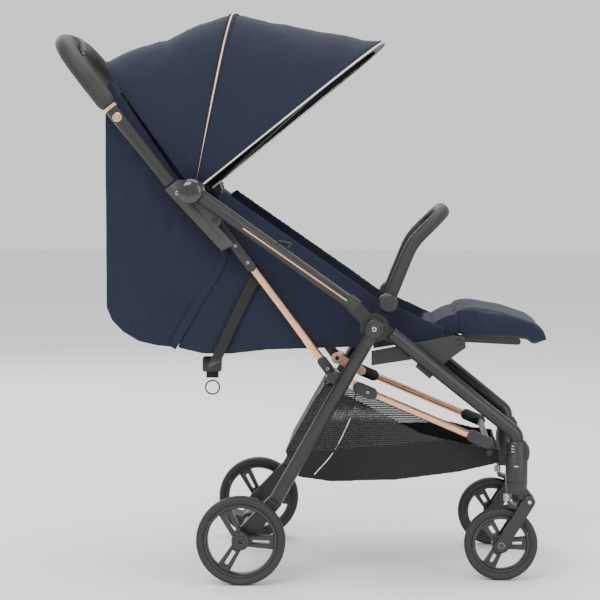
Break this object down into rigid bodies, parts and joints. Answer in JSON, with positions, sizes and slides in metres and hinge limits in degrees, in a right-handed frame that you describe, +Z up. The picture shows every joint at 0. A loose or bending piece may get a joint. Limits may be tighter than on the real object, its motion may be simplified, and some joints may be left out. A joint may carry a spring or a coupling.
{
  "type": "baby stroller",
  "caption": "Folding compact stroller with a reclining seat, extending canopy, bumper bar, leg rest, mesh basket, swivel front wheels and a linked frame fold.",
  "frame": {"origin": "on the floor, under the middle of the bounding box", "axes": "+X forward, +Y to the stroller's left, +Z up"},
  "size_m": [0.92, 0.4982, 1.0492],
  "materials": {
    "charcoal_tube": "satin charcoal anodised look, slightly metallic",
    "rose_gold": "polished rose-gold anodised aluminium, grooved",
    "black_plastic": "fine-grained moulded black plastic",
    "gloss_black": "polished black plastic",
    "tyre_rubber": "soft matt black tread",
    "leather_grip": "black leather-look wrap with seams",
    "navy_fabric": "dark navy woven fabric with sewn seams",
    "black_fabric": "black webbing and lining",
    "basket_mesh": "black mesh above a solid black fabric base",
    "steel": "plain bright pins and springs"
  },
  "bodies": {
    "front_frame": {"front_leg_right": "charcoal_tube", "front_leg_left": "charcoal_tube", "caster_housing_right": "black_plastic", "caster_housing_left": "black_plastic", "mid_pivot_right": "steel", "mid_pivot_left": "steel", "bumper_mount_right": "black_plastic", "bumper_mount_left": "black_plastic", "seat_rail_right": "black_plastic", "seat_rail_left": "black_plastic", "front_cross_tube": "charcoal_tube", "seat_pad": "navy_fabric", "basket": "basket_mesh"},
    "side_tubes": {"side_tube_right": "charcoal_tube", "side_tube_left": "charcoal_tube", "hub_cap_right": "gloss_black", "hub_cap_left": "gloss_black", "recline_strap": "black_fabric"},
    "handle": {"handlebar": "charcoal_tube", "handle_grip": "leather_grip", "handle_bracket_right": "charcoal_tube", "handle_bracket_left": "charcoal_tube", "rear_bag": "navy_fabric"},
    "fold_button": {"fold_button": "gloss_black"},
    "canopy": {"canopy_mid_bow": "black_plastic", "canopy_rear_panel": "navy_fabric", "canopy_front_panel": "navy_fabric"},
    "canopy_front": {"canopy_front_bow": "black_plastic"},
    "backrest": {"backrest": "navy_fabric", "harness": "black_fabric"},
    "d_ring": {"d_ring": "steel"},
    "rear_legs": {"rear_leg_right": "charcoal_tube", "rear_leg_left": "charcoal_tube", "rear_foot_right": "black_plastic", "rear_foot_left": "black_plastic", "rear_axle": "steel"},
    "brake": {"brake_pedal": "black_plastic"},
    "struts": {"strut_right": "rose_gold", "strut_left": "rose_gold"},
    "lower_rods": {"lower_rod_right": "rose_gold", "lower_rod_left": "rose_gold"},
    "bumper": {"bumper_bar": "leather_grip"},
    "legrest": {"legrest_frame": "black_plastic", "legrest_pad": "navy_fabric"},
    "caster_right": {"caster_swivel_right": "black_plastic", "spring_right": "steel"},
    "fork_right": {"fork_right": "black_plastic", "front_axle_right": "steel"},
    "front_wheel_right": {"front_tyre_right": "tyre_rubber", "front_rim_right": "black_plastic"},
    "rear_wheel_right": {"rear_tyre_right": "tyre_rubber", "rear_rim_right": "black_plastic"},
    "caster_left": {"caster_swivel_left": "black_plastic", "spring_left": "steel"},
    "fork_left": {"fork_left": "black_plastic", "front_axle_left": "steel"},
    "front_wheel_left": {"front_tyre_left": "tyre_rubber", "front_rim_left": "black_plastic"},
    "rear_wheel_left": {"rear_tyre_left": "tyre_rubber", "rear_rim_left": "black_plastic"}
  },
  "joints": [
    {"name": "frame_fold", "type": "hinge", "parent": "front_frame", "child": "side_tubes", "pos_m": [0.139, 0, 0.469], "axis": [0, 1, 0], "range_deg": [-122.4, 0], "deforming": ["seat_pad", "basket", "recline_strap", "rear_bag", "backrest", "harness", "canopy_rear_panel"]},
    {"name": "rear_leg_fold", "type": "hinge", "parent": "front_frame", "child": "rear_legs", "pos_m": [0.139, 0, 0.469], "axis": [0, 1, 0], "range_deg": [-49.6, 0]},
    {"name": "handle_fold", "type": "hinge", "parent": "side_tubes", "child": "handle", "pos_m": [-0.194, 0, 0.715], "axis": [0, 1, 0], "range_deg": [0, 137.2]},
    {"name": "strut_pivot", "type": "hinge", "parent": "rear_legs", "child": "struts", "pos_m": [0.061, 0, 0.378], "axis": [0, 1, 0], "range_deg": [-90.1, 0]},
    {"name": "lower_rod_pivot", "type": "hinge", "parent": "front_frame", "child": "lower_rods", "pos_m": [0.347, 0, 0.253], "axis": [0, 1, 0], "range_deg": [0, 12.6]},
    {"name": "canopy_tuck", "type": "hinge", "parent": "handle", "child": "canopy", "pos_m": [-0.194, 0, 0.715], "axis": [0, 1, 0], "range_deg": [-75.2, 0]},
    {"name": "canopy_fold", "type": "hinge", "parent": "canopy", "child": "canopy_front", "pos_m": [-0.194, 0, 0.715], "axis": [0, -1, 0], "range_deg": [0, 32], "deforming": ["canopy_front_panel"]},
    {"name": "backrest_recline", "type": "hinge", "parent": "side_tubes", "child": "backrest", "pos_m": [0.004, 0, 0.448], "axis": [0, 1, 0], "range_deg": [0, 50]},
    {"name": "legrest_tilt", "type": "hinge", "parent": "front_frame", "child": "legrest", "pos_m": [0.293, 0, 0.44], "axis": [0, 1, 0], "range_deg": [0, 60]},
    {"name": "bumper_tilt", "type": "hinge", "parent": "front_frame", "child": "bumper", "pos_m": [0.163, 0, 0.512], "axis": [0, 1, 0], "range_deg": [0, 35]},
    {"name": "brake_press", "type": "hinge", "parent": "rear_legs", "child": "brake", "pos_m": [-0.103, 0, 0.0815], "axis": [0, -1, 0], "range_deg": [0, 20]},
    {"name": "d_ring_swing", "type": "hinge", "parent": "side_tubes", "child": "d_ring", "pos_m": [-0.176, 0, 0.3475], "axis": [0, 1, 0], "range_deg": [0, 40]},
    {"name": "fold_press", "type": "slide", "parent": "handle", "child": "fold_button", "axis": [-0.6211, 0, 0.7837], "range_m": [0, 0.003], "stiffness_N_per_m": 300, "springref_m": -0.004},
    {"name": "caster_swivel_right", "type": "hinge", "parent": "front_frame", "child": "caster_right", "pos_m": [0.4, -0.17, 0.184], "axis": [0, 0, 1], "continuous": true},
    {"name": "suspension_right", "type": "hinge", "parent": "caster_right", "child": "fork_right", "pos_m": [0.4227, -0.17, 0.1488], "axis": [0, 1, 0], "range_deg": [0, 8], "stiffness_Nm_per_rad": 30, "springref_deg": -8.59, "deforming": ["spring_right"]},
    {"name": "front_wheel_spin_right", "type": "hinge", "parent": "fork_right", "child": "front_wheel_right", "pos_m": [0.372, -0.17, 0.0675], "axis": [0, 1, 0], "continuous": true},
    {"name": "rear_wheel_spin_right", "type": "hinge", "parent": "rear_legs", "child": "rear_wheel_right", "pos_m": [-0.103, -0.235, 0.0815], "axis": [0, 1, 0], "continuous": true},
    {"name": "caster_swivel_left", "type": "hinge", "parent": "front_frame", "child": "caster_left", "pos_m": [0.4, 0.17, 0.184], "axis": [0, 0, 1], "continuous": true},
    {"name": "suspension_left", "type": "hinge", "parent": "caster_left", "child": "fork_left", "pos_m": [0.4227, 0.17, 0.1488], "axis": [0, 1, 0], "range_deg": [0, 8], "stiffness_Nm_per_rad": 30, "springref_deg": -8.59, "deforming": ["spring_left"]},
    {"name": "front_wheel_spin_left", "type": "hinge", "parent": "fork_left", "child": "front_wheel_left", "pos_m": [0.372, 0.17, 0.0675], "axis": [0, 1, 0], "continuous": true},
    {"name": "rear_wheel_spin_left", "type": "hinge", "parent": "rear_legs", "child": "rear_wheel_left", "pos_m": [-0.103, 0.235, 0.0815], "axis": [0, 1, 0], "continuous": true}
  ],
  "couplings": [
    {"joint": "rear_leg_fold", "follows": "frame_fold", "ratio": 0.4046},
    {"joint": "handle_fold", "follows": "frame_fold", "ratio": -1.1202},
    {"joint": "strut_pivot", "follows": "frame_fold", "ratio": 0.7347},
    {"joint": "lower_rod_pivot", "follows": "frame_fold", "ratio": -0.1023},
    {"joint": "canopy_tuck", "follows": "frame_fold", "ratio": 0.613}
  ]
}
